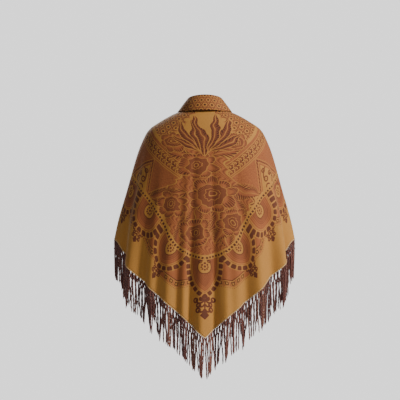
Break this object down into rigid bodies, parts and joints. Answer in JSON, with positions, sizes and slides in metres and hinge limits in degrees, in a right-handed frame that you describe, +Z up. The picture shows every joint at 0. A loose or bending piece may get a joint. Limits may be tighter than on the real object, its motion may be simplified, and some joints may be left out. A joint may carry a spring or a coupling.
{
  "type": "flamenco shawl",
  "caption": "Large triangular cloth shawl draped over the shoulders, point at the back, folded neck edge, long knotted fringe along both short edges.",
  "frame": {"origin": "middle of the base of the neck hole, where the wearer's shoulders carry the shawl", "axes": "+Z up, +Y the way the wearer faces, so the point of the shawl hangs on the -Y side; +X to the wearer's right"},
  "size_m": [0.56, 0.3353, 0.8739],
  "materials": {
    "shawl_cloth": "ochre jacquard with a brown woven pattern",
    "fringe": "dark burgundy twisted yarn with a soft sheen"
  },
  "bodies": {
    "root": {"shawl_cloth": "shawl_cloth", "collar_fold": "shawl_cloth", "fringe_left": "fringe", "fringe_right": "fringe"}
  },
  "joints": []
}
